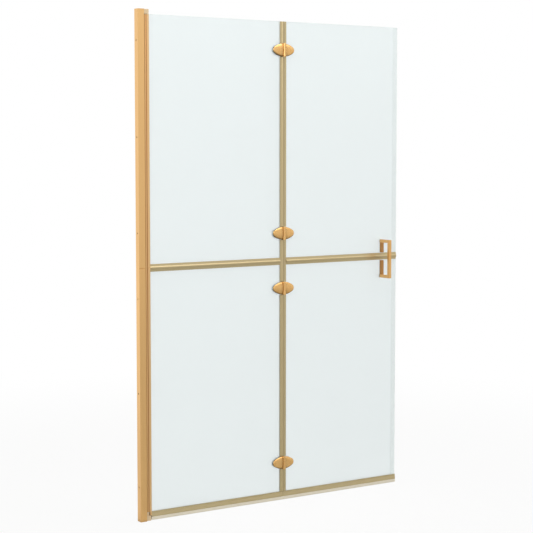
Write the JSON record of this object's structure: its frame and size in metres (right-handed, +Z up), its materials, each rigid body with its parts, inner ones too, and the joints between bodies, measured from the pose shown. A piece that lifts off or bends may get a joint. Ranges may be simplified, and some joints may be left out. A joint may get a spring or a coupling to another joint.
{
  "type": "folding walk-in shower screen",
  "caption": "Frameless frosted-glass walk-in shower screen: a pivoting inner leaf on a wall channel and a folding outer leaf with a bar handle.",
  "frame": {"origin": "on the wall face of the channel, in the glass mid-plane, at floor level", "axes": "+X from the wall to the free edge, -Y towards the front with the handle, +Z up"},
  "size_m": [1.2, 0.081, 1.9],
  "materials": {
    "gold_profile": "satin gold anodised",
    "gold_block": "moulded, gold coloured",
    "gold_fitting": "gold plated, satin",
    "gold_screw": "gold plated",
    "steel_pin": "turned",
    "champagne_strip": "extruded, champagne coloured",
    "clear_seal": "clear, soft",
    "frosted_glass": "acid etched, frosted",
    "gasket": "translucent grey",
    "nylon": "moulded"
  },
  "bodies": {
    "wall_mount": {"wall_channel_lower": "gold_profile", "wall_channel_upper": "gold_profile", "channel_splice": "gold_profile", "carrier_lower": "gold_profile", "carrier_upper": "gold_profile", "adjusting_screws": "gold_screw", "top_pivot_block": "gold_block", "bottom_pivot_block": "gold_block", "pivot_pins": "steel_pin", "block_screws": "steel_pin"},
    "inner_leaf": {"glazing_gasket_lower": "gasket", "glazing_gasket_upper": "gasket", "hinge_1_inner_plate": "gold_fitting", "hinge_2_inner_plate": "gold_fitting", "hinge_3_inner_plate": "gold_fitting", "hinge_4_inner_plate": "gold_fitting", "hinge_pins": "steel_pin", "inner_bottom_rail": "champagne_strip", "inner_fold_seal": "champagne_strip", "inner_glass_lower": "frosted_glass", "inner_glass_upper": "frosted_glass", "inner_hinge_clamps": "gold_fitting", "inner_hinge_gaskets": "gasket", "inner_hinge_screws": "gold_screw", "inner_joint_strip": "champagne_strip", "inner_sweep_lip": "clear_seal", "pivot_bushes": "nylon", "pivot_dowel": "steel_pin", "pivot_profile_lower": "gold_profile", "pivot_profile_upper": "gold_profile"},
    "outer_leaf": {"edge_guard_lower": "clear_seal", "edge_guard_upper": "clear_seal", "handle": "gold_fitting", "handle_pads": "gasket", "handle_screws": "gold_screw", "handle_washers": "nylon", "hinge_1_outer_plate": "gold_fitting", "hinge_2_outer_plate": "gold_fitting", "hinge_3_outer_plate": "gold_fitting", "hinge_4_outer_plate": "gold_fitting", "outer_bottom_rail": "champagne_strip", "outer_fold_seal": "champagne_strip", "outer_glass_lower": "frosted_glass", "outer_glass_upper": "frosted_glass", "outer_hinge_clamps": "gold_fitting", "outer_hinge_gaskets": "gasket", "outer_hinge_screws": "gold_screw", "outer_joint_strip": "champagne_strip", "outer_sweep_lip": "clear_seal"}
  },
  "joints": [
    {"name": "wall_pivot", "type": "hinge", "parent": "wall_mount", "child": "inner_leaf", "pos_m": [0.0355, 0, 0], "axis": [0, 0, 1], "range_deg": [-88, 90]},
    {"name": "leaf_fold", "type": "hinge", "parent": "inner_leaf", "child": "outer_leaf", "pos_m": [0.64, -0.0135, 0], "axis": [0, 0, -1], "range_deg": [0, 173]}
  ]
}
